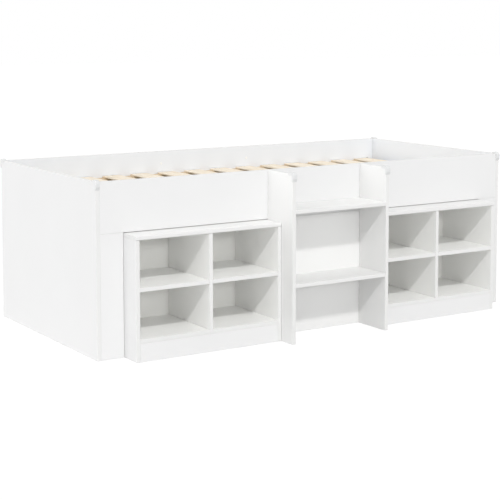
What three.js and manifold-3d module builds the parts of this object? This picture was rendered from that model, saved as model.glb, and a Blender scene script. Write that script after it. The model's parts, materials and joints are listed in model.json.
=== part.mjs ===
// Low loft bed with centre steps and two cube bookcases that stand in bays under it.
// Millimetres. X runs along the bed, the front faces -Y and the floor is at Z = 0.

import * as THREE from 'three';
import { mergeVertices } from 'three/addons/utils/BufferGeometryUtils.js';
import Module from 'manifold-3d';

const wasm = await Module();
wasm.setup();

// Boards
const boardThickness = 16;
const edgeEasing = 1;
const seam = 0.1;

// Bed frame
const frameLength = 2040;
const frameDepth = 940;
const railHeight = 202.4;
const fillerWidth = 99;
const panelCornerRadius = 8;
const lowerRailHeight = 100;
const lowerRailBase = 75;

// Bookcases
const cubeHeight = 183;
const plinthHeight = 73;
const bookcaseDepth = 340;
const bookcaseReach = 103;
const bayClearance = 0.9;
const railClearance = 2.5;
const topEdgeRadius = 4;
const backThickness = 3;
const backInset = 5;
const grooveDepth = 6;
const grooveClearance = 0.3;

// Steps
const treadLength = 453;
const stepsReach = 183;
const lowerTreadTop = 245;
const treadRise = 300;
const treadNoseRadius = 3;

// Slatted base
const mattressRecess = 97;
const slatCount = 14;
const slatWidth = 84;
const slatThickness = 8;
const slatEdgeRadius = 2.5;
const slatEndMargin = 39;
const slatEndGap = 4;
const battenWidth = 40;
const battenHeight = 34;
const battenEndGap = 10;

// Corner guards
const guardArm = 32;
const guardSkin = 6.5;
const guardLip = 8;
const guardLipThickness = 1.5;
const guardCrownRadius = 5;
const guardLipCorner = 4;
const guardClearance = 0.3;
const guardEasing = 0.8;

// Connectors between the rails and the end panels
const camDiameter = 15;
const camDepth = 12.5;
const camSetback = 34;
const boltBoreDiameter = 8;
const boltThreadDiameter = 6;
const boltThreadLength = 11;
const boltShankDiameter = 6.5;
const boltNeckDiameter = 3.5;
const boltHeadDiameter = 7;
const boltHeadLength = 3.5;
const fittingClearance = 0.3;
const fittingChamfer = 1;

// Facets on round forms
const cornerFacets = 4;
const boreFacets = 20;

// Finishes
const whiteBoard = new THREE.MeshStandardMaterial({ color: 0xf1f1ef, roughness: 0.45, metalness: 0 });
const whiteBack = new THREE.MeshStandardMaterial({ color: 0xeaeae7, roughness: 0.6, metalness: 0 });
const pine = new THREE.MeshStandardMaterial({ color: 0xe3c79c, roughness: 0.65, metalness: 0 });
const greyPlastic = new THREE.MeshStandardMaterial({ color: 0xd0d2d3, roughness: 0.4, metalness: 0 });
const zinc = new THREE.MeshStandardMaterial({ color: 0xb8babd, roughness: 0.35, metalness: 1 });

// Heights and widths that follow from the sizes above
const bookcaseHeight = plinthHeight + 3 * boardThickness + 2 * cubeHeight;
const bayHeight = bookcaseHeight + railClearance;
const frameHeight = bayHeight + railHeight;
const halfLength = frameLength / 2;
const halfInside = halfLength - boardThickness;
const halfSteps = treadLength / 2 + boardThickness;
const bayWidth = halfInside - fillerWidth - halfSteps;
const bookcaseWidth = bayWidth - 2 * bayClearance;
const bookcaseCentre = halfSteps + bayWidth / 2;

// Front and back planes, placed so that the object's origin is the middle of its footprint
const frontFace = (stepsReach - frameDepth) / 2;
const frontInside = frontFace + boardThickness;
const backFace = frontFace + frameDepth;
const backInside = backFace - boardThickness;

// How a board is turned: its local Z axis lies along its thickness or its length
const turns = {
  x: basisTurn([0, 1, 0], [0, 0, 1], [1, 0, 0]),
  y: basisTurn([1, 0, 0], [0, 0, 1], [0, -1, 0]),
  z: basisTurn([1, 0, 0], [0, 1, 0], [0, 0, 1]),
};

function basisTurn(right, up, out) {
  const axes = [right, up, out].map((axis) => new THREE.Vector3(...axis));
  return new THREE.Euler().setFromRotationMatrix(new THREE.Matrix4().makeBasis(...axes));
}

// Solids for joining and cutting
function toSolid(geometry) {
  const bare = geometry.index ? geometry.toNonIndexed() : geometry.clone();
  bare.deleteAttribute('normal');
  bare.deleteAttribute('uv');
  const merged = mergeVertices(bare);
  return new wasm.Manifold(new wasm.Mesh({
    numProp: 3,
    vertProperties: merged.getAttribute('position').array,
    triVerts: new Uint32Array(merged.index.array),
  }));
}

function toGeometry(solid) {
  const mesh = solid.getMesh();
  const geometry = new THREE.BufferGeometry();
  geometry.setAttribute('position', new THREE.BufferAttribute(mesh.vertProperties, 3));
  geometry.setIndex(new THREE.BufferAttribute(mesh.triVerts, 1));
  const faceted = geometry.toNonIndexed();
  faceted.computeVertexNormals();
  return faceted;
}

function cutAway(geometry, cutters) {
  let solid = toSolid(geometry);
  for (const cutter of cutters) {
    solid = solid.subtract(toSolid(cutter));
  }
  return toGeometry(solid);
}

// A rectangle with its own radius at each corner: low-low, high-low, high-high and low-high
function cornerShape(width, height, radii) {
  const [lowLow, highLow, highHigh, lowHigh] = radii;
  const corners = [
    { side: 1, level: -1, radius: highLow },
    { side: 1, level: 1, radius: highHigh },
    { side: -1, level: 1, radius: lowHigh },
    { side: -1, level: -1, radius: lowLow },
  ];
  const shape = new THREE.Shape();
  shape.moveTo(-width / 2 + lowLow, -height / 2);
  shape.lineTo(width / 2 - highLow, -height / 2);
  corners.forEach(({ side, level, radius }, quarter) => {
    const centreX = side * (width / 2 - radius);
    const centreY = level * (height / 2 - radius);
    const start = (quarter - 1) * Math.PI / 2;
    if (radius > 0) {
      shape.absarc(centreX, centreY, radius, start, start + Math.PI / 2);
    } else {
      shape.lineTo(centreX, centreY);
    }
  });
  return shape;
}

// An outline pushed through a length, with its two end rims eased
function easedExtrusion(shape, length, easing) {
  const geometry = new THREE.ExtrudeGeometry(shape, {
    depth: length - 2 * easing,
    bevelThickness: easing,
    bevelSize: easing,
    bevelOffset: -easing,
    bevelSegments: 1,
    curveSegments: cornerFacets,
  });
  geometry.translate(0, 0, easing - length / 2);
  return geometry;
}

// A straight box between three spans, used as a cutter
function boxCutter(x, y, z) {
  const geometry = new THREE.BoxGeometry(x[1] - x[0], y[1] - y[0], z[1] - z[0]);
  geometry.translate((x[0] + x[1]) / 2, (y[0] + y[1]) / 2, (z[0] + z[1]) / 2);
  return geometry;
}

// A round hole along X or Y between two places on that axis
function boreCutter(axis, diameter, from, to, centre) {
  const length = Math.abs(to - from);
  const geometry = new THREE.CylinderGeometry(diameter / 2, diameter / 2, length, boreFacets);
  if (axis === 'x') {
    geometry.rotateZ(Math.PI / 2);
    geometry.translate((from + to) / 2, centre.y, centre.z);
  } else {
    geometry.translate(centre.x, (from + to) / 2, centre.z);
  }
  return geometry;
}

// A board between three spans. Its outline is square to the axis named by across.
function board(name, material, across, spans, { corners = [0, 0, 0, 0], cutters = [] } = {}) {
  const sizes = { x: spans.x[1] - spans.x[0], y: spans.y[1] - spans.y[0], z: spans.z[1] - spans.z[0] };
  const outlineAxes = { x: ['y', 'z'], y: ['x', 'z'], z: ['x', 'y'] }[across];
  const shape = cornerShape(sizes[outlineAxes[0]], sizes[outlineAxes[1]], corners);
  const mesh = new THREE.Mesh(easedExtrusion(shape, sizes[across], edgeEasing), material);
  mesh.name = name;
  mesh.rotation.copy(turns[across]);
  mesh.position.set(
    (spans.x[0] + spans.x[1]) / 2,
    (spans.y[0] + spans.y[1]) / 2,
    (spans.z[0] + spans.z[1]) / 2,
  );
  if (cutters.length > 0) {
    mesh.updateMatrix();
    const toLocal = mesh.matrix.clone().invert();
    mesh.geometry = cutAway(mesh.geometry, cutters.map((cutter) => cutter.applyMatrix4(toLocal)));
  }
  return mesh;
}

// Connector: a bolt in the end panel whose head sits in a cam let into the rail's inner face
const connectorHeight = bayHeight + railHeight / 2;
const boltHeadReach = camSetback + boltHeadLength / 2;
const boltNeckStart = camSetback - camDiameter / 2 - fittingClearance;
const boltNeckEnd = boltHeadReach - boltHeadLength;

function connectorPlace(side, rail) {
  const insideFace = rail === 'front' ? frontInside : backInside;
  const inward = rail === 'front' ? 1 : -1;
  return {
    side,
    inward,
    insideFace,
    panelFace: side * halfInside,
    camX: side * (halfInside - camSetback),
    axis: { y: insideFace - inward * boardThickness / 2, z: connectorHeight },
  };
}

function railBores(rail) {
  return [-1, 1].flatMap((side) => {
    const place = connectorPlace(side, rail);
    const boreFloor = place.insideFace - place.inward * (camDepth + fittingClearance);
    const boreMouth = place.insideFace + place.inward * fittingClearance;
    const camBore = camDiameter + 2 * fittingClearance;
    return [
      boreCutter('y', camBore, boreFloor, boreMouth, { x: place.camX, z: connectorHeight }),
      boreCutter('x', boltBoreDiameter, place.camX, place.panelFace, place.axis),
    ];
  });
}

function panelBores(side) {
  return ['front', 'back'].map((rail) => {
    const place = connectorPlace(side, rail);
    const floor = place.panelFace + side * (boltThreadLength + fittingClearance);
    const mouth = place.panelFace - side * fittingClearance;
    return boreCutter('x', boltThreadDiameter + 2 * fittingClearance, floor, mouth, place.axis);
  });
}

function connectorBolt(name, place) {
  const outline = [
    [0, -boltThreadLength],
    [boltThreadDiameter / 2 - fittingChamfer, -boltThreadLength],
    [boltThreadDiameter / 2, -boltThreadLength + fittingChamfer],
    [boltThreadDiameter / 2, 0],
    [boltShankDiameter / 2, 0],
    [boltShankDiameter / 2, boltNeckStart],
    [boltNeckDiameter / 2, boltNeckStart],
    [boltNeckDiameter / 2, boltNeckEnd],
    [boltHeadDiameter / 2, boltNeckEnd],
    [boltHeadDiameter / 2, boltHeadReach - fittingChamfer],
    [boltHeadDiameter / 2 - fittingChamfer, boltHeadReach],
    [0, boltHeadReach],
  ];
  const points = outline.map(([radius, along]) => new THREE.Vector2(radius, along));
  const mesh = new THREE.Mesh(new THREE.LatheGeometry(points, boreFacets), zinc);
  mesh.name = name;
  mesh.rotation.z = place.side * Math.PI / 2;
  mesh.position.set(place.panelFace, place.axis.y, place.axis.z);
  return mesh;
}

// The cam is a disc, open on its inner side, notched for the bolt's neck and hollow round its head
function connectorCam(name, place) {
  const disc = new THREE.CylinderGeometry(camDiameter / 2, camDiameter / 2, camDepth, boreFacets);
  const axisDepth = boardThickness / 2;
  const beyondMouth = -camDepth;
  const hollowTop = camDepth / 2 - axisDepth + boltHeadDiameter / 2 + fittingClearance;
  const notchTop = camDepth / 2 - axisDepth + boltNeckDiameter / 2 + fittingClearance;
  const headHalf = boltHeadDiameter / 2 + fittingClearance;
  const neckHalf = boltNeckDiameter / 2 + fittingClearance;
  const hollowHalf = boltHeadLength / 2 + fittingClearance;
  const cutters = [
    boxCutter([-hollowHalf, hollowHalf], [beyondMouth, hollowTop], [-headHalf, headHalf]),
    boxCutter([0, camDiameter], [beyondMouth, notchTop], [-neckHalf, neckHalf]),
  ];
  const mesh = new THREE.Mesh(cutAway(disc, cutters), zinc);
  mesh.name = name;
  mesh.rotation.set(place.inward > 0 ? 0 : Math.PI, place.side > 0 ? 0 : Math.PI, 0);
  mesh.position.set(place.camX, place.insideFace - place.inward * camDepth / 2, connectorHeight);
  return mesh;
}

// Corner guard: a strip bent over a board's top corner, with a lip down one or both of its faces.
// towards is the direction in Y from the guarded edge into the board.
function cornerGuard(name, towards, edgeY, faces, lips) {
  const overhang = guardClearance + guardSkin;
  const crown = overhang - guardCrownRadius;
  const crownStart = guardArm - guardCrownRadius;
  const lipEnd = guardArm - guardLipCorner;
  const outer = new THREE.Shape();
  outer.moveTo(towards * guardLip, -guardLip);
  outer.lineTo(towards * lipEnd, -guardLip);
  outer.lineTo(towards * guardArm, guardLipCorner - guardLip);
  outer.lineTo(towards * guardArm, crown);
  outer.quadraticCurveTo(towards * guardArm, overhang, towards * crownStart, overhang);
  outer.lineTo(towards * panelCornerRadius, overhang);
  outer.absarc(
    towards * panelCornerRadius,
    -panelCornerRadius,
    panelCornerRadius + overhang,
    Math.PI / 2,
    towards > 0 ? Math.PI : 0,
    towards < 0,
  );
  outer.lineTo(-towards * overhang, -crownStart);
  outer.quadraticCurveTo(-towards * overhang, -guardArm, -towards * crown, -guardArm);
  outer.lineTo(towards * (guardLip - guardLipCorner), -guardArm);
  outer.lineTo(towards * guardLip, -lipEnd);
  const lipWidth = guardClearance + guardLipThickness;
  const low = faces[0] - (lips.low ? lipWidth : 0);
  const high = faces[1] + (lips.high ? lipWidth : 0);
  const strip = easedExtrusion(outer, high - low, guardEasing);
  strip.translate(0, 0, (low + high - faces[0] - faces[1]) / 2);
  const reach = 2 * guardArm;
  const seat = new THREE.Shape();
  seat.moveTo(towards * reach, guardClearance);
  seat.lineTo(towards * panelCornerRadius, guardClearance);
  seat.absarc(
    towards * panelCornerRadius,
    -panelCornerRadius,
    panelCornerRadius + guardClearance,
    Math.PI / 2,
    towards > 0 ? Math.PI : 0,
    towards < 0,
  );
  seat.lineTo(-towards * guardClearance, -reach);
  seat.lineTo(towards * reach, -reach);
  const beyondLow = lips.low ? guardClearance : guardArm;
  const beyondHigh = lips.high ? guardClearance : guardArm;
  const width = faces[1] - faces[0];
  const cutter = new THREE.ExtrudeGeometry(seat, {
    depth: width + beyondLow + beyondHigh,
    bevelEnabled: false,
    curveSegments: cornerFacets,
  });
  cutter.translate(0, 0, -width / 2 - beyondLow);
  const mesh = new THREE.Mesh(cutAway(strip, [cutter]), greyPlastic);
  mesh.name = name;
  mesh.rotation.copy(turns.x);
  mesh.position.set((faces[0] + faces[1]) / 2, edgeY, frameHeight);
  return mesh;
}

// Bookcase: two sides under a full top, a divider, two half shelves, a bottom, a plinth and a back
function bookcase(prefix, outward) {
  const group = new THREE.Group();
  group.position.x = outward * bookcaseCentre;
  const half = bookcaseWidth / 2;
  const insideHalf = half - boardThickness;
  const dividerHalf = boardThickness / 2;
  const front = frontFace - bookcaseReach;
  const rear = front + bookcaseDepth;
  const grooveBack = rear - backInset;
  const grooveFront = grooveBack - backThickness - 2 * grooveClearance;
  const shelfRear = grooveFront - seam;
  const bottomTop = plinthHeight + boardThickness;
  const shelfBase = bottomTop + cubeHeight;
  const topBase = bookcaseHeight - boardThickness;
  const groove = boxCutter(
    [-insideHalf - grooveDepth, insideHalf + grooveDepth],
    [grooveFront, grooveBack],
    [bottomTop - grooveDepth, topBase + grooveDepth],
  );
  const add = (part, material, across, spans, options) => {
    group.add(board(`${prefix}_bookcase_${part}`, material, across, spans, options));
  };

  for (const side of [-1, 1]) {
    const faces = side < 0 ? [-half, -insideHalf] : [insideHalf, half];
    const place = side === outward ? 'outer' : 'inner';
    add(`${place}_side`, whiteBoard, 'x', {
      x: faces,
      y: [front, rear],
      z: [0, topBase - seam],
    }, { cutters: [groove.clone()] });
    const shelfSpan = side < 0
      ? [-insideHalf + seam, -dividerHalf - seam]
      : [dividerHalf + seam, insideHalf - seam];
    add(`${place}_shelf`, whiteBoard, 'z', {
      x: shelfSpan,
      y: [front, shelfRear],
      z: [shelfBase, shelfBase + boardThickness],
    });
  }
  add('top', whiteBoard, 'x', {
    x: [-half, half],
    y: [front, rear],
    z: [topBase, bookcaseHeight],
  }, { corners: [topEdgeRadius, 0, 0, topEdgeRadius], cutters: [groove.clone()] });
  add('divider', whiteBoard, 'x', {
    x: [-dividerHalf, dividerHalf],
    y: [front, shelfRear],
    z: [bottomTop + seam, topBase - seam],
  });
  add('bottom', whiteBoard, 'z', {
    x: [-insideHalf + seam, insideHalf - seam],
    y: [front, rear],
    z: [plinthHeight, bottomTop],
  }, { cutters: [groove.clone()] });
  add('plinth', whiteBoard, 'y', {
    x: [-insideHalf + seam, insideHalf - seam],
    y: [front, front + boardThickness],
    z: [0, plinthHeight - seam],
  });
  const backHalf = insideHalf + grooveDepth - grooveClearance;
  const panel = new THREE.BoxGeometry(
    2 * backHalf,
    backThickness,
    topBase - bottomTop + 2 * (grooveDepth - grooveClearance),
  );
  const back = new THREE.Mesh(panel, whiteBack);
  back.name = `${prefix}_bookcase_back`;
  back.position.set(0, (grooveFront + grooveBack) / 2, (topBase + bottomTop) / 2);
  group.add(back);
  return group;
}

// Bed frame: end panels, rails, front fillers and the panel behind the steps
function bedFrame() {
  const group = new THREE.Group();
  const rounded = [0, 0, panelCornerRadius, panelCornerRadius];
  for (const side of [-1, 1]) {
    const faces = side < 0 ? [-halfLength, -halfInside] : [halfInside, halfLength];
    const hand = side < 0 ? 'left' : 'right';
    group.add(board(`${hand}_end_panel`, whiteBoard, 'x', {
      x: faces,
      y: [frontFace, backFace],
      z: [0, frameHeight],
    }, { corners: rounded, cutters: panelBores(side) }));
    const fillerEdge = halfInside - fillerWidth;
    group.add(board(`${hand}_front_filler`, whiteBoard, 'y', {
      x: side < 0 ? [-halfInside + seam, -fillerEdge] : [fillerEdge, halfInside - seam],
      y: [frontFace, frontInside],
      z: [0, bayHeight - seam],
    }));
    const lips = { low: side < 0, high: side > 0 };
    group.add(cornerGuard(`${hand}_front_corner_guard`, 1, frontFace, faces, lips));
    group.add(cornerGuard(`${hand}_rear_corner_guard`, -1, backFace, faces, lips));
    for (const rail of ['front', 'back']) {
      const place = connectorPlace(side, rail);
      group.add(connectorBolt(`${hand}_${rail}_connector_bolt`, place));
      group.add(connectorCam(`${hand}_${rail}_connector_cam`, place));
    }
  }
  const railSpan = [-halfInside + seam, halfInside - seam];
  group.add(board('front_rail', whiteBoard, 'y', {
    x: railSpan,
    y: [frontFace, frontInside],
    z: [bayHeight, frameHeight],
  }, { cutters: railBores('front') }));
  group.add(board('back_rail', whiteBoard, 'y', {
    x: railSpan,
    y: [backInside, backFace],
    z: [bayHeight, frameHeight],
  }, { cutters: railBores('back') }));
  group.add(board('lower_back_rail', whiteBoard, 'y', {
    x: railSpan,
    y: [backInside, backFace],
    z: [lowerRailBase, lowerRailBase + lowerRailHeight],
  }));
  group.add(board('middle_panel', whiteBoard, 'y', {
    x: [-halfSteps, halfSteps],
    y: [frontFace, frontInside],
    z: [0, bayHeight - seam],
  }));
  return group;
}

// Slatted base: a batten along each rail and slats laid across the two
function slattedBase() {
  const group = new THREE.Group();
  const slatTop = frameHeight - mattressRecess;
  const battenTop = slatTop - slatThickness - seam;
  const battenSpan = [-halfInside + battenEndGap, halfInside - battenEndGap];
  const battens = [
    { name: 'front_slat_batten', y: [frontInside + seam, frontInside + seam + battenWidth] },
    { name: 'back_slat_batten', y: [backInside - seam - battenWidth, backInside - seam] },
  ];
  for (const { name, y } of battens) {
    group.add(board(name, pine, 'z', { x: battenSpan, y, z: [battenTop - battenHeight, battenTop] }));
  }
  const firstCentre = -halfInside + slatEndMargin + slatWidth / 2;
  const pitch = -2 * firstCentre / (slatCount - 1);
  const radii = [slatEdgeRadius, slatEdgeRadius, slatEdgeRadius, slatEdgeRadius];
  for (let i = 0; i < slatCount; i += 1) {
    const centre = firstCentre + i * pitch;
    group.add(board(`slat_${String(i + 1).padStart(2, '0')}`, pine, 'y', {
      x: [centre - slatWidth / 2, centre + slatWidth / 2],
      y: [frontInside + slatEndGap, backInside - slatEndGap],
      z: [slatTop - slatThickness, slatTop],
    }, { corners: radii }));
  }
  return group;
}

// Steps: two full-height sides, two treads between them and a guard on each side's top corner
function steps() {
  const group = new THREE.Group();
  const stepsFront = frontFace - stepsReach;
  const stepsRear = frontFace - seam;
  for (const side of [-1, 1]) {
    const hand = side < 0 ? 'left' : 'right';
    const faces = side < 0 ? [-halfSteps, -treadLength / 2] : [treadLength / 2, halfSteps];
    group.add(board(`${hand}_steps_side`, whiteBoard, 'x', {
      x: faces,
      y: [stepsFront, stepsRear],
      z: [0, frameHeight],
    }, { corners: [0, 0, 0, panelCornerRadius] }));
    const lips = { low: true, high: true };
    group.add(cornerGuard(`${hand}_steps_corner_guard`, 1, stepsFront, faces, lips));
  }
  const treads = [
    { name: 'lower_tread', top: lowerTreadTop },
    { name: 'upper_tread', top: lowerTreadTop + treadRise },
  ];
  for (const { name, top } of treads) {
    group.add(board(name, whiteBoard, 'x', {
      x: [-treadLength / 2 + seam, treadLength / 2 - seam],
      y: [stepsFront, stepsRear],
      z: [top - boardThickness, top],
    }, { corners: [treadNoseRadius, 0, 0, treadNoseRadius] }));
  }
  return group;
}

const loftBed = new THREE.Group();
loftBed.name = 'loft_bed';
loftBed.add(bedFrame());
loftBed.add(slattedBase());
loftBed.add(steps());
loftBed.add(bookcase('left', -1));
loftBed.add(bookcase('right', 1));

export default loftBed;
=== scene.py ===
"""Low loft bed with bookcases: its boards, slats, fittings and finishes, in a white studio.

Metres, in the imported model's frame: +X runs along the bed, -Y points out of its front and +Z is up.
"""

import json
import math

import bpy
import numpy as np
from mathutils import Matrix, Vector


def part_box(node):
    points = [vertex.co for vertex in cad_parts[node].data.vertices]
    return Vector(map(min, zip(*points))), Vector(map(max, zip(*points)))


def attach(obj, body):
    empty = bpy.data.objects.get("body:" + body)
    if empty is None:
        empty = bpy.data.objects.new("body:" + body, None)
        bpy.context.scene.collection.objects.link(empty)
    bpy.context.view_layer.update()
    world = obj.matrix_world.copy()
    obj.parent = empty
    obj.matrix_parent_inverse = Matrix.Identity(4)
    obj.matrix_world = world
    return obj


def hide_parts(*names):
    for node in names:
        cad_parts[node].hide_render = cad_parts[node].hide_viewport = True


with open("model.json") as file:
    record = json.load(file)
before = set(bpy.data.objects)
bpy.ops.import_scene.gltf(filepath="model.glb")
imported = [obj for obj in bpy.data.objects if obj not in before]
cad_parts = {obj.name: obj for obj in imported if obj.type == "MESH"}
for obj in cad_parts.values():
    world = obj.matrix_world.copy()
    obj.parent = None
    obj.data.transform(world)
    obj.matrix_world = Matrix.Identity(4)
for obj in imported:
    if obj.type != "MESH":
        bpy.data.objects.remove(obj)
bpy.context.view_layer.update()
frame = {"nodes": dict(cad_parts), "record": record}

MM = 0.001

# Boards
ARRIS = 1.0 * MM
PANEL_CORNER = 8 * MM
TOP_EDGE = 4 * MM
TREAD_NOSE = 3 * MM
BATTEN_ARRIS = 2 * MM
BACK_ARRIS = 0.3 * MM

# Facets, shading and welding of meshes; a corner's radius is at least so many arrises
ARC_STEPS = 4
CORNER_STEPS = 10
TAPER_STEPS = 8
BORE_FACETS = 32
HEAD_FACETS = 24
SMALL_RADIUS = 2 * MM
CORNER_IN_ARRISES = 1.25
SQUARE_ON = 0.999
SHARP_ANGLE = math.radians(40)
FLAT_FACE_WEIGHT = 80
WELD_DISTANCE = 0.01 * MM

# Grooves for the bookcase backs, and bores for the rail connectors
GROOVE_DEPTH = 6 * MM
GROOVE_CLEARANCE = 0.3 * MM
CAM_BORE = 15.6 * MM
CAM_BORE_DEPTH = 12.8 * MM
BOLT_BORE = 8 * MM
THREAD_BORE = 6.6 * MM
THREAD_BORE_DEPTH = 11.3 * MM
CUTTER_OVERSHOOT = 1 * MM

# Slats
SLAT_EDGE = 2.5 * MM

# Pine: each slat's step through the pattern, and the pattern's scale along the grain against that
# across it; then the bands of growth, a knot's core and rim in its cell, and how much marks stain
SLAT_PATTERN_STEP = (0.37, 1.71, 0.53)
GROWTH_DRAW = 0.035
BEND_DRAW = 0.3
KNOT_DRAW = 0.45
GROWTH_BANDS = 6.0
KNOT_CORE = 0.035
KNOT_RIM = 0.075
PORE_STAIN = 0.2
KNOT_STAIN = 0.6

# Hardboard: the scale of its fibres along each axis, and how much they stain
FIBRE_SCALE = (1.0, 1.0, 2.6)
FIBRE_STAIN = 0.12

# Corner guards
GUARD_ARM = 32 * MM
GUARD_SKIN = 6.5 * MM
GUARD_LIP = 8 * MM
GUARD_LIP_THICKNESS = 1.5 * MM
GUARD_TAPER = 14 * MM
GUARD_END_SKIN = 0.8 * MM
GUARD_LIP_CORNER = 4 * MM
GUARD_CLEARANCE = 0.3 * MM
GUARD_ROUNDING = 2.2 * MM
GUARD_ROUNDING_IN_SKINS = 0.6
GUARD_LIP_ROUNDING = GUARD_LIP_THICKNESS / 3
GUARD_INNER_ROUNDING = GUARD_LIP_ROUNDING / 2

# Round fittings; a cross is the length, width and depth of a cross recess
CAM_DIAMETER = 15 * MM
CAM_DEPTH = 12.5 * MM
CAM_CROSS = (7 * MM, 1.3 * MM, 2.2 * MM)
SCREW_HEAD = 7 * MM
SCREW_HEAD_FOOT = 4.9 * MM
SCREW_HEAD_HEIGHT = 1.5 * MM
SCREW_SUNK = 1.2 * MM
SCREW_CROSS = (3.6 * MM, 0.8 * MM, 1.0 * MM)
SCREW_SPACING = 240 * MM
CAP_DIAMETER = 12 * MM
CAP_TOP_DIAMETER = 10.32 * MM
CAP_HEIGHT = 0.9 * MM
CAP_DIMPLE = (0.6 * MM, 0.6 * MM, 0.1 * MM)
RAIL_CAP_LEVEL = 634 * MM
PANEL_CAP_LEVELS = (120 * MM, 370 * MM)

# Studio light: lamp name to azimuth and elevation in degrees, level and spread in degrees
WORLD_LEVEL = 0.65
LAMPS = {
    "key_lamp": (-27, 42, 1.22, 3.5),
    "front_lamp": (0, 15, 0.52, 7),
    "left_fill": (-92, 8, 0.6, 40),
    "rear_left_fill": (-120, 30, 0.62, 60),
}

# Floor: reach in metres, glow, and the glow's share of what the camera sees; the rest is paint
FLOOR_REACH = 30
FLOOR_GLOW = 1.08
FLOOR_GLOW_SHARE = 0.85

# Camera: lens and sensor in millimetres, shift in picture widths, place and reach in metres,
# pitch and turn in radians
CAMERA_LENS = 97.39
CAMERA_SENSOR = 36.0
CAMERA_SHIFT = (-0.0074, -0.2)
CAMERA_PLACE = (-3.2422, -4.98, 1.3088)
CAMERA_REACH = 100.0
CAMERA_PITCH = -0.0972
CAMERA_TURN = -0.5672

BODY_OF = {
    node: body
    for body, nodes in frame["record"]["behaviour"]["bodies"].items()
    for node in nodes
}
AXES = "xyz"

# Which way each hand lies along x, and which way each rail faces into the bed along y
HANDS = {"left": -1, "right": 1}
INWARD = {"front": 1, "back": -1}


# Node trees

class Graph:
    """Adds nodes to a tree. An input is a plain value, or the output of another node."""

    def __init__(self, tree):
        self.tree = tree

    def add(self, kind, inputs=None, **settings):
        node = self.tree.nodes.new(kind)
        for key, value in settings.items():
            setattr(node, key, value)
        for key, value in (inputs or {}).items():
            if isinstance(value, bpy.types.NodeSocket):
                self.tree.links.new(value, node.inputs[key])
            else:
                node.inputs[key].default_value = value
        return node

    def math(self, operation, first, second):
        return self.add("ShaderNodeMath", {0: first, 1: second}, operation=operation).outputs[0]


def colour(red, green, blue):
    """A linear colour from 0 to 255 display values."""
    def linear(value):
        value /= 255
        return value / 12.92 if value <= 0.04045 else ((value + 0.055) / 1.055) ** 2.4
    return (linear(red), linear(green), linear(blue), 1.0)


def blend_colours(graph, share, low, high):
    """Mixes two colours by a share; 6 and 7 are the Mix node's inputs for colours."""
    return graph.add("ShaderNodeMix", {0: share, 6: low, 7: high}, data_type="RGBA").outputs[2]


def new_finish(name):
    """An empty material with its graph, its object coordinates and its principled shader."""
    material = bpy.data.materials.new(name)
    material.use_nodes = True
    graph = Graph(material.node_tree)
    shader = material.node_tree.nodes["Principled BSDF"]
    coordinates = graph.add("ShaderNodeTexCoord").outputs["Object"]
    return material, graph, coordinates, shader


def stretched(graph, coordinates, scale):
    return graph.add("ShaderNodeMapping", {"Vector": coordinates, "Scale": scale}).outputs["Vector"]


def noise(graph, coordinates, scale, detail=2.0, roughness=0.5, distortion=0.0):
    inputs = {
        "Vector": coordinates,
        "Scale": scale,
        "Detail": detail,
        "Roughness": roughness,
        "Distortion": distortion,
    }
    return graph.add("ShaderNodeTexNoise", inputs).outputs["Fac"]


def between(graph, value, low, high, start=0.0, end=1.0):
    """Maps a pattern that runs from start to end onto a range."""
    inputs = {"Value": value, "From Min": start, "From Max": end, "To Min": low, "To Max": high}
    return graph.add("ShaderNodeMapRange", inputs).outputs["Result"]


def relief(graph, shader, height, depth, strength):
    inputs = {"Height": height, "Distance": depth, "Strength": strength}
    bump = graph.add("ShaderNodeBump", inputs)
    graph.tree.links.new(bump.outputs["Normal"], shader.inputs["Normal"])


def wire(graph, shader, **sockets):
    for name, value in sockets.items():
        graph.tree.links.new(value, shader.inputs[name.replace("_", " ")])


def seen_by_camera(graph):
    """1 where the camera looks, straight or by way of metal and glass, and 0 for other rays."""
    path = graph.add("ShaderNodeLightPath").outputs
    seen = graph.math("MAXIMUM", path["Is Camera Ray"], path["Is Glossy Ray"])
    return graph.math("MAXIMUM", seen, path["Is Transmission Ray"])


# Finishes

def melamine_finish(name, low, high):
    """Satin white board face: a fine pearl texture with a faint cloudiness."""
    material, graph, place, shader = new_finish(name)
    cloud = noise(graph, place, scale=5.0, detail=3.0)
    tone = blend_colours(graph, cloud, low, high)
    sheen = between(graph, noise(graph, place, scale=60.0), low=0.4, high=0.5)
    wire(graph, shader, Base_Color=tone, Roughness=sheen)
    pearl = noise(graph, place, scale=1400.0, detail=1.0)
    relief(graph, shader, pearl, depth=0.03 * MM, strength=0.35)
    shader.inputs["Specular IOR Level"].default_value = 0.4
    return material


def edge_band_finish():
    """Plastic banding on the boards' edges: a shade greyer, with faint marks of the trimmer."""
    material, graph, place, shader = new_finish("white_edge_band")
    waves = noise(graph, place, scale=9.0, detail=3.0)
    tone = blend_colours(graph, waves, colour(221, 221, 220), colour(225, 225, 224))
    sheen = between(graph, noise(graph, place, scale=180.0), low=0.32, high=0.44)
    wire(graph, shader, Base_Color=tone, Roughness=sheen)
    marks = noise(graph, place, scale=500.0, detail=1.0)
    relief(graph, shader, marks, depth=0.02 * MM, strength=0.3)
    shader.inputs["Specular IOR Level"].default_value = 0.45
    return material


def hardboard_finish():
    """Printed white hardboard: matt, with short pressed fibres."""
    material, graph, place, shader = new_finish("white_hardboard")
    pressed = stretched(graph, place, FIBRE_SCALE)
    fibres = noise(graph, pressed, scale=260.0, detail=5.0, roughness=0.7)
    cloud = noise(graph, place, scale=7.0)
    base = blend_colours(graph, cloud, colour(244, 244, 241), colour(247, 247, 244))
    flecks = graph.math("MULTIPLY", fibres, FIBRE_STAIN)
    tone = blend_colours(graph, flecks, base, colour(226, 224, 218))
    sheen = between(graph, fibres, low=0.55, high=0.7)
    wire(graph, shader, Base_Color=tone, Roughness=sheen)
    relief(graph, shader, fibres, depth=0.08 * MM, strength=0.4)
    return material


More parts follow.
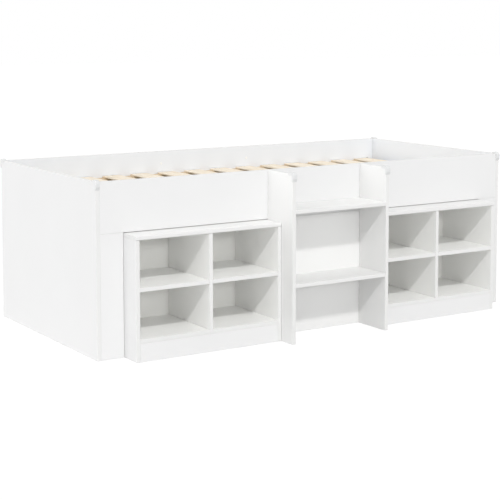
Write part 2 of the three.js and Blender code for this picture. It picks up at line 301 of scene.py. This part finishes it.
def pine_finish(name, along, early_wood, late_wood):
    """Pine with growth lines and a few knots along one axis; each slat has its own pattern."""
    material, graph, place, shader = new_finish(name)
    number = graph.add("ShaderNodeAttribute", attribute_name="slat_number").outputs["Fac"]
    shift = graph.add("ShaderNodeCombineXYZ", {
        axis: graph.math("MULTIPLY", number, step) for axis, step in zip("XYZ", SLAT_PATTERN_STEP)
    }).outputs["Vector"]
    own = graph.add("ShaderNodeVectorMath", {0: place, 1: shift}, operation="ADD").outputs[0]

    def drawn_out(draw):
        return stretched(graph, own, [draw if axis == along else 1.0 for axis in AXES])

    drawn = drawn_out(GROWTH_DRAW)
    bend = noise(graph, drawn_out(BEND_DRAW), scale=9.0)
    rings = noise(graph, drawn, scale=120.0, detail=3.0, roughness=0.45, distortion=0.6)
    growth = graph.add("ShaderNodeMath", {0: rings, 1: GROWTH_BANDS, 2: bend},
                       operation="MULTIPLY_ADD").outputs[0]
    lines = graph.math("PINGPONG", growth, 1.0)
    pores = noise(graph, drawn, scale=900.0, detail=4.0, roughness=0.7)
    cells = graph.add("ShaderNodeTexVoronoi", {"Vector": drawn_out(KNOT_DRAW), "Scale": 7.5})
    knot = between(graph, cells.outputs["Distance"], 1.0, 0.0, start=KNOT_CORE, end=KNOT_RIM)
    sap = blend_colours(graph, lines, early_wood, late_wood)
    pore_stain = graph.math("MULTIPLY", pores, PORE_STAIN)
    streaked = blend_colours(graph, pore_stain, sap, colour(216, 191, 157))
    knot_stain = graph.math("MULTIPLY", knot, KNOT_STAIN)
    tone = blend_colours(graph, knot_stain, streaked, colour(164, 120, 84))
    sheen = between(graph, pores, low=0.5, high=0.68)
    wire(graph, shader, Base_Color=tone, Roughness=sheen)
    relief(graph, shader, graph.math("ADD", lines, pores), depth=0.06 * MM, strength=0.35)
    return material


def guard_finish():
    """Soft grey plastic with painted shade and light: darker over the thick skin and paler over the
    thin lip, in place of clear plastic's dark rims and see-through lip.
    """
    material, graph, place, shader = new_finish("soft_plastic_painted_rim_shade")
    depth = graph.add("ShaderNodeAttribute", attribute_name="painted_rim_shade").outputs["Fac"]
    mottle = noise(graph, place, scale=300.0, detail=3.0)
    # The thick skin's darker grey is painted shade, and the lip's paler grey painted light, for clear
    # plastic's rims and see-through lip
    thick = blend_colours(graph, mottle, colour(213, 214, 214), colour(218, 219, 219))
    tone = blend_colours(graph, depth, colour(227, 227, 227), thick)
    sheen = between(graph, mottle, low=0.34, high=0.42)
    wire(graph, shader, Base_Color=tone, Roughness=sheen)
    relief(graph, shader, noise(graph, place, scale=2200.0), depth=0.02 * MM, strength=0.2)
    shader.inputs["IOR"].default_value = 1.46
    return material


def zinc_finish(name, low, high, roughness):
    """Cast or plated zinc, with a faint crystalline mottle."""
    material, graph, place, shader = new_finish(name)
    cells = graph.add("ShaderNodeTexVoronoi", {"Vector": place, "Scale": 900.0})
    crystals = cells.outputs["Distance"]
    tone = blend_colours(graph, crystals, low, high)
    sheen = between(graph, crystals, *roughness)
    wire(graph, shader, Base_Color=tone, Roughness=sheen)
    relief(graph, shader, crystals, depth=0.03 * MM, strength=0.3)
    shader.inputs["Metallic"].default_value = 1.0
    return material


def cap_finish():
    """Glossy white plastic of the screw caps."""
    material, graph, place, shader = new_finish("white_cap_plastic")
    mottle = noise(graph, place, scale=500.0)
    tone = blend_colours(graph, mottle, colour(236, 236, 235), colour(240, 240, 239))
    sheen = between(graph, mottle, low=0.25, high=0.32)
    wire(graph, shader, Base_Color=tone, Roughness=sheen)
    return material


# Copies of one white with light and shade painted in: this outer white is darkened as painted shade
MELAMINE = melamine_finish("white_melamine", colour(224, 224, 224), colour(227, 227, 227))
# A slightly brighter, cooler copy: painted light against the shade and the pine's warm bounce on
# inner faces
INNER_WHITE_PAINTED_LIGHT = melamine_finish("inner_white_painted_light", colour(227, 230, 234), colour(230, 233, 237))
# A brighter copy: painted light in the shade of the steps' niche and on the bookcase tops
STEPS_WHITE_PAINTED_LIGHT = melamine_finish("steps_white_painted_light", colour(234, 234, 233), colour(237, 237, 236))
# The brightest copy: painted light in the shade of the bookcases' cubes
BOOKCASE_WHITE_PAINTED_LIGHT = melamine_finish(
    "bookcase_white_painted_light", colour(248, 248, 246), colour(251, 251, 249),
)
EDGE_BAND = edge_band_finish()
HARDBOARD = hardboard_finish()
PINE_SLAT = pine_finish("planed_pine_slats", "y", colour(242, 234, 220), colour(233, 219, 196))
# The battens' pine is darker than the slats': painted shade for the dark space under the slats, seen
# through their gaps
SHADED_PINE_BATTEN = pine_finish("pine_battens_painted_shade", "x", colour(216, 196, 166), colour(190, 163, 127))
GUARD_PLASTIC = guard_finish()
CAST_ZINC = zinc_finish(
    "cast_zinc", colour(188, 190, 193), colour(206, 208, 210), roughness=(0.32, 0.47),
)
PLATED_STEEL = zinc_finish(
    "plated_steel", colour(196, 196, 194), colour(214, 212, 206), roughness=(0.25, 0.4),
)
CAP_PLASTIC = cap_finish()


# Meshes

def new_piece(name, vertices, faces, materials):
    mesh = bpy.data.meshes.new(name)
    mesh.from_pydata([tuple(vertex) for vertex in vertices], [], faces)
    for material in materials:
        mesh.materials.append(material)
    mesh.update()
    piece = bpy.data.objects.new(name, mesh)
    bpy.context.scene.collection.objects.link(piece)
    return piece


def apply_modifiers(piece):
    """Turns the piece's modifiers into plain mesh."""
    bpy.context.view_layer.update()
    evaluated = piece.evaluated_get(bpy.context.evaluated_depsgraph_get())
    mesh = bpy.data.meshes.new_from_object(evaluated)
    mesh.name = piece.name
    old = piece.data
    piece.modifiers.clear()
    piece.data = mesh
    bpy.data.meshes.remove(old)


def even_shading(piece):
    """Smooth arrises beside flat faces."""
    piece.data.shade_smooth()
    piece.data.set_sharp_from_angle(angle=SHARP_ANGLE)
    normals = piece.modifiers.new("even_shading", "WEIGHTED_NORMAL")
    normals.weight = FLAT_FACE_WEIGHT
    normals.keep_sharp = True
    apply_modifiers(piece)


def stands_for(piece, slot, *nodes):
    """Puts a finished piece in the place of its CAD nodes, on their body."""
    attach(piece, BODY_OF[nodes[0]])
    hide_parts(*nodes)


def tube_faces(rings, count):
    """The two ends of a closed tube, and the quads between its rings of so many points."""
    last = (rings - 1) * count
    faces = [list(range(count))[::-1], list(range(last, last + count))]
    for start in range(0, last, count):
        for point in range(count):
            following = (point + 1) % count
            faces.append([
                start + point,
                start + following,
                start + count + following,
                start + count + point,
            ])
    return faces


def rounded_rectangle(half, corners, steps, inset):
    """Points round a rectangle, counter-clockwise from its low-low corner."""
    points = []
    places = ((-1, -1), (1, -1), (1, 1), (-1, 1))
    for quarter, (place, radius, count) in enumerate(zip(places, corners, steps)):
        centre = [sign * (size - radius) for sign, size in zip(place, half)]
        reach = radius - inset
        for step in range(count + 1):
            angle = math.pi + (quarter + step / count) * math.pi / 2
            points.append((
                centre[0] + reach * math.cos(angle),
                centre[1] + reach * math.sin(angle),
            ))
    return points


def rounded_slab(name, box, through, corners, arris, materials):
    """A board that fills a box, drawn in outline square to one axis, with rounded arrises.

    A second material goes on all but the two broad faces.
    """
    low, high = (np.array(corner, dtype=float) for corner in box)
    middle, half = (low + high) / 2, (high - low) / 2
    third = AXES.index(through)
    first, second = (third + 1) % 3, (third + 2) % 3
    corners = [max(radius, CORNER_IN_ARRISES * arris) for radius in corners]
    steps = [ARC_STEPS if radius < SMALL_RADIUS else CORNER_STEPS for radius in corners]
    stations = []
    for step in range(ARC_STEPS + 1):
        angle = step / ARC_STEPS * math.pi / 2
        inset, rise = arris * (1 - math.sin(angle)), arris * (1 - math.cos(angle))
        stations.append((inset, rise - half[third]))
    stations += [(inset, -level) for inset, level in reversed(stations)]
    vertices = []
    for inset, level in stations:
        for across, along in rounded_rectangle((half[first], half[second]), corners, steps, inset):
            vertex = np.zeros(3)
            vertex[first], vertex[second], vertex[third] = across, along, level
            vertices.append(vertex + middle)
    faces = tube_faces(len(stations), len(vertices) // len(stations))
    piece = new_piece(name, vertices, faces, materials)
    if len(materials) > 1:
        thin = int(np.argmin(half))
        banded = [0 if abs(face.normal[thin]) > SQUARE_ON else 1 for face in piece.data.polygons]
        piece.data.polygons.foreach_set("material_index", banded)
    return piece


def box_cutter(low, high):
    corners = [
        (x, y, z) for x in (low[0], high[0]) for y in (low[1], high[1]) for z in (low[2], high[2])
    ]
    faces = [[0, 1, 3, 2], [4, 6, 7, 5], [0, 4, 5, 1], [2, 3, 7, 6], [0, 2, 6, 4], [1, 5, 7, 3]]
    return new_piece("cutter", corners, faces, [MELAMINE])


def bore_cutter(centre, axis, diameter, start, end):
    """A round bore between two places on an axis."""
    third = AXES.index(axis)
    first, second = (third + 1) % 3, (third + 2) % 3
    vertices = []
    for level in sorted((start, end)):
        for facet in range(BORE_FACETS):
            angle = facet / BORE_FACETS * 2 * math.pi
            vertex = [0.0, 0.0, 0.0]
            vertex[first] = centre[first] + diameter / 2 * math.cos(angle)
            vertex[second] = centre[second] + diameter / 2 * math.sin(angle)
            vertex[third] = level
            vertices.append(vertex)
    return new_piece("cutter", vertices, tube_faces(2, BORE_FACETS), [MELAMINE])


def cut_away(piece, cutters):
    for cutter in cutters:
        difference = piece.modifiers.new("cut", "BOOLEAN")
        difference.operation = "DIFFERENCE"
        difference.solver = "EXACT"
        difference.object = cutter
    apply_modifiers(piece)
    for cutter in cutters:
        bpy.data.objects.remove(cutter)


def board(node, through, corners=(0, 0, 0, 0), cutters=(), face=MELAMINE, way=None,
          other=MELAMINE):
    """A banded board in the place of its CAD node; the face that looks one way may take another copy
    of the white, with light or shade painted in.
    """
    piece = rounded_slab(f"{node}_board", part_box(node), through, corners, ARRIS, [face, EDGE_BAND])
    if cutters:
        cut_away(piece, cutters)
    # The face that looks that way gets another copy of the white: painted light or shade for that
    # face
    if way is not None:
        piece.data.materials.append(other)
        for polygon in piece.data.polygons:
            if polygon.normal.dot(Vector(way)) > SQUARE_ON:
                polygon.material_index = 2
    even_shading(piece)
    stands_for(piece, "white_board", node)


# Boards of the frame and the steps

def middle_of(node):
    low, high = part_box(node)
    return [(a + b) / 2 for a, b in zip(low, high)]


def inner_face(node, inward):
    """Where along y a board's inner face lies."""
    low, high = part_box(node)
    return high[1] if inward > 0 else low[1]


def connector_bores(rail, hand):
    """The cam's bore in the rail and the bolt's bores in rail and end panel, for one rail end."""
    side, inward, over = HANDS[hand], INWARD[rail], CUTTER_OVERSHOOT
    cam = middle_of(f"{hand}_{rail}_connector_cam")
    bolt = middle_of(f"{hand}_{rail}_connector_bolt")
    inner = inner_face(f"{rail}_rail", inward)
    low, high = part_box(f"{rail}_rail")
    end = high[0] if side > 0 else low[0]
    return {
        "cam": (cam, "y", CAM_BORE, inner - inward * CAM_BORE_DEPTH, inner + inward * over),
        "bolt": (bolt, "x", BOLT_BORE, cam[0], end + side * over),
        "thread": (bolt, "x", THREAD_BORE, end - side * over, end + side * THREAD_BORE_DEPTH),
    }


def make_rails():
    for rail, inward in INWARD.items():
        bores = [connector_bores(rail, hand) for hand in HANDS]
        cutters = [bore_cutter(*bore[kind]) for bore in bores for kind in ("cam", "bolt")]
        # The rails' inner faces take the cooler copy of the white: painted light against the shade
        # and the pine's warm bounce
        board(f"{rail}_rail", "y", cutters=cutters, way=(0, inward, 0), other=INNER_WHITE_PAINTED_LIGHT)
    for node in ("lower_back_rail", "left_front_filler", "right_front_filler"):
        board(node, "y")


def make_end_panels():
    corners = (0, 0, PANEL_CORNER, PANEL_CORNER)
    for hand, side in HANDS.items():
        bores = [connector_bores(rail, hand) for rail in INWARD]
        cutters = [bore_cutter(*bore["thread"]) for bore in bores]
        # The end panels' inner faces take the cooler copy of the white: painted light against the
        # shade and the pine's warm bounce
        board(f"{hand}_end_panel", "x", corners, cutters, way=(-side, 0, 0), other=INNER_WHITE_PAINTED_LIGHT)


def make_steps():
    # The steps take a brighter copy of the white: painted light in the shade of their niche
    board("middle_panel", "y", face=STEPS_WHITE_PAINTED_LIGHT)
    for hand in HANDS:
        board(f"{hand}_steps_side", "x", (0, 0, 0, PANEL_CORNER), face=STEPS_WHITE_PAINTED_LIGHT)
    for level in ("lower", "upper"):
        board(f"{level}_tread", "x", (TREAD_NOSE, 0, 0, TREAD_NOSE), face=STEPS_WHITE_PAINTED_LIGHT)


# Bookcases

def back_groove(hand):
    """The groove that holds a bookcase's back, cut along its sides, top and bottom."""
    low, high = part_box(f"{hand}_bookcase_back")
    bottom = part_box(f"{hand}_bookcase_bottom")[1][2]
    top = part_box(f"{hand}_bookcase_top")[0][2]
    reach = GROOVE_CLEARANCE
    return (
        (low[0] - reach, low[1] - reach, bottom - GROOVE_DEPTH),
        (high[0] + reach, high[1] + reach, top + GROOVE_DEPTH),
    )


def make_bookcase(hand):
    groove = back_groove(hand)
    prefix = f"{hand}_bookcase"
    outwards = HANDS[hand]
    # Inside, the bookcase takes the brightest copy of the white, painted light in the cubes' shade;
    # faces that look out keep the outer white, painted shade
    inside = {"face": BOOKCASE_WHITE_PAINTED_LIGHT}
    for part, way in (("outer_side", outwards), ("inner_side", -outwards)):
        board(f"{prefix}_{part}", "x", cutters=[box_cutter(*groove)], way=(way, 0, 0), **inside)
    rounded_front = (TOP_EDGE, 0, 0, TOP_EDGE)
    # The top takes the steps' brighter copy of the white: painted light on the ledge
    board(f"{prefix}_top", "x", rounded_front, [box_cutter(*groove)], way=(0, 0, 1),
          other=STEPS_WHITE_PAINTED_LIGHT, **inside)
    board(f"{prefix}_bottom", "z", cutters=[box_cutter(*groove)], way=(0, 0, -1), **inside)
    board(f"{prefix}_divider", "x", **inside)
    board(f"{prefix}_plinth", "y")
    for part in ("outer_shelf", "inner_shelf"):
        board(f"{prefix}_{part}", "z", **inside)
    node = f"{prefix}_back"
    square = (0, 0, 0, 0)
    back = rounded_slab(f"{node}_panel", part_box(node), "y", square, BACK_ARRIS, [HARDBOARD])
    even_shading(back)
    stands_for(back, "white_back_board", node)


# Corner guards

def rounded_profile(corners):
    """A closed outline through (across, out, radius) corners, each rounded by its radius."""
    points = []
    for index, (across, out, radius) in enumerate(corners):
        here = np.array((across, out))
        before = np.array(corners[index - 1][:2]) - here
        after = np.array(corners[(index + 1) % len(corners)][:2]) - here
        before, after = before / np.linalg.norm(before), after / np.linalg.norm(after)
        centre = here + radius * (before + after)
        for step in range(ARC_STEPS + 1):
            angle = step / ARC_STEPS * math.pi / 2
            points.append(centre - radius * (after * math.cos(angle) + before * math.sin(angle)))
    return points


def tapered_skin(to_end):
    """The skin's thickness, which eases off towards the guard's ends."""
    share = (1 - math.cos(math.pi * min(to_end / GUARD_TAPER, 1))) / 2
    return GUARD_END_SKIN + (GUARD_SKIN - GUARD_END_SKIN) * share


def rounded_lip(to_end):
    """The lip's reach down the board, with round corners at the guard's ends."""
    short = GUARD_LIP_CORNER - min(to_end, GUARD_LIP_CORNER)
    return GUARD_LIP - GUARD_LIP_CORNER + math.sqrt(GUARD_LIP_CORNER ** 2 - short ** 2)


def guard_path(edge, top, towards):
    """Stations up the board's edge, round its corner and along its top.

    Each has its place, the way out of the board and the distance to the guard's nearer end.
    """
    turns = [step / TAPER_STEPS * math.pi / 2 for step in range(TAPER_STEPS + 1)]
    ends = [GUARD_TAPER * (1 - math.cos(turn)) for turn in turns]
    path = [((edge, top - GUARD_ARM + run), (-towards, 0.0), run) for run in ends]
    centre = (edge + towards * PANEL_CORNER, top - PANEL_CORNER)
    for step in range(CORNER_STEPS + 1):
        angle = step / CORNER_STEPS * math.pi / 2
        out = (-towards * math.cos(angle), math.sin(angle))
        place = [middle + PANEL_CORNER * way for middle, way in zip(centre, out)]
        path.append((place, out, GUARD_TAPER))
    path += [((edge + towards * (GUARD_ARM - run), top), (0.0, 1.0), run) for run in reversed(ends)]
    return path


def guard_profile(faces, lips, to_end):
    """The guard's section: a skin over the board's edge, with a lip down each face that has one."""
    inner = GUARD_CLEARANCE
    outer = inner + tapered_skin(to_end)
    foot = -rounded_lip(to_end)
    rounding = min(GUARD_ROUNDING, GUARD_ROUNDING_IN_SKINS * (outer - inner))
    sides = []
    for face, lipped, outwards in zip(faces, lips, (-1, 1)):
        inside = face + outwards * GUARD_CLEARANCE if lipped else face
        outside = inside + outwards * GUARD_LIP_THICKNESS if lipped else face
        side = [(inside, inner, GUARD_INNER_ROUNDING)]
        if lipped:
            side += [(place, foot, GUARD_LIP_ROUNDING) for place in (inside, outside)]
        sides.append(side + [(outside, outer, rounding)])
    return rounded_profile(sides[0] + sides[1][::-1])


def corner_guard(node, panel, towards, lips):
    """A plastic strip bent over a board's top corner."""
    low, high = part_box(panel)
    edge = low[1] if towards > 0 else high[1]
    path = guard_path(edge, high[2], towards)
    vertices, rim_shade_weights = [], []
    for place, out, to_end in path:
        for across, reach in guard_profile((low[0], high[0]), lips, to_end):
            vertices.append((across, place[0] + reach * out[0], place[1] + reach * out[1]))
            # 1 on the skin, which takes the painted shade, and 0 on the lips
            rim_shade_weights.append(1.0 if reach > 0 else 0.0)
    faces = tube_faces(len(path), len(vertices) // len(path))
    if towards > 0:
        faces = [face[::-1] for face in faces]
    piece = new_piece(f"{node}_strip", vertices, faces, [GUARD_PLASTIC])
    painted_rim_shade = piece.data.attributes.new("painted_rim_shade", "FLOAT", "POINT")
    painted_rim_shade.data.foreach_set("value", rim_shade_weights)
    even_shading(piece)
    stands_for(piece, "grey_plastic", node)


def make_corner_guards():
    for hand, side in HANDS.items():
        outside = (side < 0, side > 0)
        corner_guard(f"{hand}_front_corner_guard", f"{hand}_end_panel", 1, outside)
        corner_guard(f"{hand}_rear_corner_guard", f"{hand}_end_panel", -1, outside)
        corner_guard(f"{hand}_steps_corner_guard", f"{hand}_steps_side", 1, (True, True))


# Slatted base

def slat_nodes():
    return sorted(node for node in frame["nodes"] if node.startswith("slat_"))


def new_geometry_tree(name, sizes):
    """A Geometry Nodes tree with named inputs, and its graph, input node and output node."""
    tree = bpy.data.node_groups.new(name, "GeometryNodeTree")
    tree.interface.new_socket(name="Geometry", in_out="INPUT", socket_type="NodeSocketGeometry")
    for label, kind in sizes.items():
        tree.interface.new_socket(name=label, in_out="INPUT", socket_type=f"NodeSocket{kind}")
    tree.interface.new_socket(name="Geometry", in_out="OUTPUT", socket_type="NodeSocketGeometry")
    graph = Graph(tree)
    return tree, graph, graph.add("NodeGroupInput").outputs, graph.add("NodeGroupOutput").inputs


def run_tree(piece, tree, values):
    """Runs a tree on a piece with its inputs set, and keeps the result as plain mesh."""
    modifier = piece.modifiers.new(tree.name, "NODES")
    modifier.node_group = tree
    for item in tree.interface.items_tree:
        if item.in_out == "INPUT" and item.name in values:
            modifier[item.identifier] = values[item.name]
    apply_modifiers(piece)


def slat_row_tree():
    """A row of planed slats with rounded long edges; each is numbered for its grain."""
    tree, graph, given, result = new_geometry_tree("slat_row", {
        "Count": "Int",
        "First centre": "Vector",
        "Pitch": "Float",
        "Width": "Float",
        "Length": "Float",
        "Thickness": "Float",
        "Edge radius": "Float",
        "Finish": "Material",
    })
    section = graph.add("GeometryNodeCurvePrimitiveQuadrilateral", {
        "Width": given["Width"],
        "Height": given["Thickness"],
    })
    rounded = graph.add("GeometryNodeFilletCurve", {
        "Curve": section.outputs[0],
        "Radius": given["Edge radius"],
        "Count": ARC_STEPS,
    }, mode="POLY")
    face = graph.add("GeometryNodeFillCurve", {"Curve": rounded.outputs[0]}, mode="NGONS")
    pushed = graph.add("GeometryNodeExtrudeMesh", {
        "Mesh": face.outputs[0],
        "Offset Scale": given["Length"],
        "Individual": False,
    }, mode="FACES")
    turned = graph.add("GeometryNodeFlipFaces", {"Mesh": face.outputs[0]})
    closed = graph.add("GeometryNodeJoinGeometry")
    for half in (pushed, turned):
        graph.tree.links.new(half.outputs[0], closed.inputs[0])
    merged = graph.add("GeometryNodeMergeByDistance", {
        "Geometry": closed.outputs[0],
        "Distance": WELD_DISTANCE,
    })
    half_length = graph.add("ShaderNodeCombineXYZ", {
        "Y": graph.math("MULTIPLY", given["Length"], 0.5),
    })
    slat = graph.add("GeometryNodeTransform", {
        "Geometry": merged.outputs[0],
        "Translation": half_length.outputs[0],
        "Rotation": (math.pi / 2, 0, 0),
    })
    step = graph.add("ShaderNodeCombineXYZ", {"X": given["Pitch"]})
    places = graph.add("GeometryNodeMeshLine", {
        "Count": given["Count"],
        "Start Location": given["First centre"],
        "Offset": step.outputs[0],
    })
    row = graph.add("GeometryNodeInstanceOnPoints", {
        "Points": places.outputs[0],
        "Instance": slat.outputs[0],
    })
    numbered = graph.add("GeometryNodeStoreNamedAttribute", {
        "Geometry": row.outputs[0],
        "Name": "slat_number",
        "Value": graph.add("GeometryNodeInputIndex").outputs[0],
    }, data_type="FLOAT", domain="INSTANCE")
    real = graph.add("GeometryNodeRealizeInstances", {"Geometry": numbered.outputs[0]})
    finished = graph.add("GeometryNodeSetMaterial", {
        "Geometry": real.outputs[0],
        "Material": given["Finish"],
    })
    graph.tree.links.new(finished.outputs[0], result[0])
    return tree


def make_slats():
    slats = slat_nodes()
    first, second = (middle_of(node) for node in slats[:2])
    low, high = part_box(slats[0])
    row = new_piece("pine_slats", [], [], [PINE_SLAT])
    run_tree(row, slat_row_tree(), {
        "Count": len(slats),
        "First centre": first,
        "Pitch": second[0] - first[0],
        "Width": high[0] - low[0],
        "Length": high[1] - low[1],
        "Thickness": high[2] - low[2],
        "Edge radius": SLAT_EDGE,
        "Finish": PINE_SLAT,
    })
    even_shading(row)
    stands_for(row, "pine", *slats)


def make_battens():
    for rail in INWARD:
        node = f"{rail}_slat_batten"
        rounding = (BATTEN_ARRIS,) * 4
        # The battens' darker pine is painted shade for the space under the slats
        piece = rounded_slab(f"{node}_pine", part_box(node), "x", rounding, ARRIS, [SHADED_PINE_BATTEN])
        even_shading(piece)
        stands_for(piece, "pine", node)


# Screws, caps and cams

def round_fitting_tree():
    """A round head at each point, facing the way the point's facing says, with a cross recess."""
    tree, graph, given, result = new_geometry_tree("round_fitting", {
        "Diameter": "Float",
        "Top diameter": "Float",
        "Height": "Float",
        "Sunk": "Float",
        "Recess length": "Float",
        "Recess width": "Float",
        "Recess depth": "Float",
        "Finish": "Material",
    })
    head = graph.add("GeometryNodeMeshCone", {
        "Vertices": HEAD_FACETS,
        "Radius Top": graph.math("MULTIPLY", given["Top diameter"], 0.5),
        "Radius Bottom": graph.math("MULTIPLY", given["Diameter"], 0.5),
        "Depth": given["Height"],
    })
    double_depth = graph.math("MULTIPLY", given["Recess depth"], 2.0)
    bars = []
    for across, along in (("Recess length", "Recess width"), ("Recess width", "Recess length")):
        size = graph.add("ShaderNodeCombineXYZ", {
            "X": given[across],
            "Y": given[along],
            "Z": double_depth,
        })
        bars.append(graph.add("GeometryNodeMeshCube", {"Size": size.outputs[0]}))
    lift = graph.add("ShaderNodeCombineXYZ", {"Z": given["Height"]})
    recessed = head.outputs[0]
    for bar in bars:
        raised = graph.add("GeometryNodeTransform", {
            "Geometry": bar.outputs[0],
            "Translation": lift.outputs[0],
        })
        recessed = graph.add("GeometryNodeMeshBoolean", {0: recessed, 1: raised.outputs[0]},
                             operation="DIFFERENCE", solver="EXACT").outputs[0]
    drop = graph.add("ShaderNodeCombineXYZ", {"Z": graph.math("MULTIPLY", given["Sunk"], -1.0)})
    seated = graph.add("GeometryNodeTransform", {
        "Geometry": recessed,
        "Translation": drop.outputs[0],
    })
    facing = graph.add("GeometryNodeInputNamedAttribute", {"Name": "facing"},
                       data_type="FLOAT_VECTOR")
    turn = graph.add("FunctionNodeAlignRotationToVector", {"Vector": facing.outputs[0]}, axis="Z")
    placed = graph.add("GeometryNodeInstanceOnPoints", {
        "Points": given["Geometry"],
        "Instance": seated.outputs[0],
        "Rotation": turn.outputs[0],
    })
    real = graph.add("GeometryNodeRealizeInstances", {"Geometry": placed.outputs[0]})
    finished = graph.add("GeometryNodeSetMaterial", {
        "Geometry": real.outputs[0],
        "Material": given["Finish"],
    })
    graph.tree.links.new(finished.outputs[0], result[0])
    return tree


ROUND_FITTING = round_fitting_tree()


def round_fittings(name, places, finish, recess, **sizes):
    """One mesh of like fittings with a cross recess; places are (point, facing) pairs."""
    piece = new_piece(name, [point for point, _ in places], [], [finish])
    facing = piece.data.attributes.new("facing", "FLOAT_VECTOR", "POINT")
    facing.data.foreach_set("vector", [value for _, way in places for value in way])
    values = {label.capitalize().replace("_", " "): size for label, size in sizes.items()}
    values["Recess length"], values["Recess width"], values["Recess depth"] = recess
    run_tree(piece, ROUND_FITTING, {**values, "Finish": finish})
    even_shading(piece)
    return piece


def make_cams():
    places, nodes = [], []
    for rail, inward in INWARD.items():
        inner = inner_face(f"{rail}_rail", inward)
        for hand in HANDS:
            node = f"{hand}_{rail}_connector_cam"
            middle = middle_of(node)
            nodes.append(node)
            places.append(((middle[0], inner, middle[2]), (0, inward, 0)))
    cams = round_fittings(
        "connector_cams", places, CAST_ZINC, CAM_CROSS,
        diameter=CAM_DIAMETER, top_diameter=CAM_DIAMETER, height=CAM_DEPTH, sunk=CAM_DEPTH,
    )
    stands_for(cams, "zinc", *nodes)
    for node in frame["nodes"]:
        if node.endswith("_connector_bolt"):
            frame["nodes"][node].data.materials.clear()
            frame["nodes"][node].data.materials.append(PLATED_STEEL)


def make_screws():
    """Screws that hold the slats down, and the battens to the rails."""
    places = []
    battens = [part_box(f"{rail}_slat_batten") for rail in INWARD]
    for node in slat_nodes():
        middle = middle_of(node)
        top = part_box(node)[1][2]
        for low, high in battens:
            places.append(((middle[0], (low[1] + high[1]) / 2, top), (0, 0, 1)))
    for (low, high), inward in zip(battens, INWARD.values()):
        count = int((high[0] - low[0]) / SCREW_SPACING)
        inner = high[1] if inward > 0 else low[1]
        for number in range(count):
            along = low[0] + (number + 0.5) * (high[0] - low[0]) / count
            places.append(((along, inner, (low[2] + high[2]) / 2), (0, inward, 0)))
    screws = round_fittings(
        "slat_and_batten_screws", places, PLATED_STEEL, SCREW_CROSS,
        diameter=SCREW_HEAD_FOOT, top_diameter=SCREW_HEAD, height=SCREW_HEAD_HEIGHT,
        sunk=SCREW_SUNK,
    )
    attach(screws, "bed_frame")


def make_caps():
    """White screw caps on the rails and the middle panel, in line with the steps' sides."""
    places = []
    for node, inward, levels in (
        ("front_rail", 1, (RAIL_CAP_LEVEL,)),
        ("back_rail", -1, (RAIL_CAP_LEVEL,)),
        ("middle_panel", 1, PANEL_CAP_LEVELS),
    ):
        inner = inner_face(node, inward)
        for hand in HANDS:
            along = middle_of(f"{hand}_steps_side")[0]
            places += [((along, inner, level), (0, inward, 0)) for level in levels]
    caps = round_fittings(
        "screw_caps", places, CAP_PLASTIC, CAP_DIMPLE,
        diameter=CAP_DIAMETER, top_diameter=CAP_TOP_DIAMETER, height=CAP_HEIGHT, sunk=0.0,
    )
    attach(caps, "bed_frame")


# Floor, lamps and camera

def make_floor():
    """A plain pale floor that looks white to the camera and keeps a soft shadow."""
    signs = ((-1, -1), (1, -1), (1, 1), (-1, 1))
    corners = [(x * FLOOR_REACH, y * FLOOR_REACH, 0) for x, y in signs]
    floor = new_piece("floor", corners, [[0, 1, 2, 3]], [])
    material = bpy.data.materials.new("studio_floor")
    material.use_nodes = True
    graph = Graph(material.node_tree)
    material.node_tree.nodes.remove(material.node_tree.nodes["Principled BSDF"])
    paint = graph.add("ShaderNodeBsdfDiffuse", {"Color": colour(225, 225, 225)})
    glow = graph.add("ShaderNodeEmission", {"Color": (1, 1, 1, 1), "Strength": FLOOR_GLOW})
    share = graph.math("MULTIPLY", seen_by_camera(graph), FLOOR_GLOW_SHARE)
    mixed = graph.add("ShaderNodeMixShader", {0: share, 1: paint.outputs[0], 2: glow.outputs[0]})
    output = material.node_tree.nodes["Material Output"]
    graph.tree.links.new(mixed.outputs[0], output.inputs["Surface"])
    floor.data.materials.append(material)


def make_lamps():
    """Soft light from all round, a key lamp, a low front lamp and two broad fills at the left."""
    world = bpy.data.worlds.new("studio")
    world.use_nodes = True
    bpy.context.scene.world = world
    graph = Graph(world.node_tree)
    strength = between(graph, seen_by_camera(graph), WORLD_LEVEL, 1.0)
    background = world.node_tree.nodes["Background"]
    background.inputs["Color"].default_value = (1, 1, 1, 1)
    graph.tree.links.new(strength, background.inputs["Strength"])
    for name, (azimuth, elevation, level, spread) in LAMPS.items():
        lamp = bpy.data.lights.new(name, "SUN")
        lamp.energy = level
        lamp.angle = math.radians(spread)
        holder = bpy.data.objects.new(name, lamp)
        turn, rise = math.radians(azimuth), math.radians(elevation)
        towards = Vector((
            math.sin(turn) * math.cos(rise),
            -math.cos(turn) * math.cos(rise),
            math.sin(rise),
        ))
        holder.rotation_euler = (-towards).to_track_quat("-Z", "Y").to_euler()
        bpy.context.scene.collection.objects.link(holder)


def make_camera():
    camera = bpy.data.cameras.new("camera")
    camera.sensor_width = CAMERA_SENSOR
    camera.lens = CAMERA_LENS
    camera.shift_x, camera.shift_y = CAMERA_SHIFT
    camera.clip_end = CAMERA_REACH
    holder = bpy.data.objects.new("camera", camera)
    holder.location = CAMERA_PLACE
    holder.rotation_euler = (math.pi / 2 + CAMERA_PITCH, 0.0, CAMERA_TURN)
    bpy.context.scene.collection.objects.link(holder)
    bpy.context.scene.camera = holder


make_end_panels()
make_rails()
make_steps()
for hand in HANDS:
    make_bookcase(hand)
make_corner_guards()
make_slats()
make_battens()
make_cams()
make_screws()
make_caps()
make_floor()
make_lamps()
make_camera()
bpy.context.scene.view_settings.view_transform = "Standard"
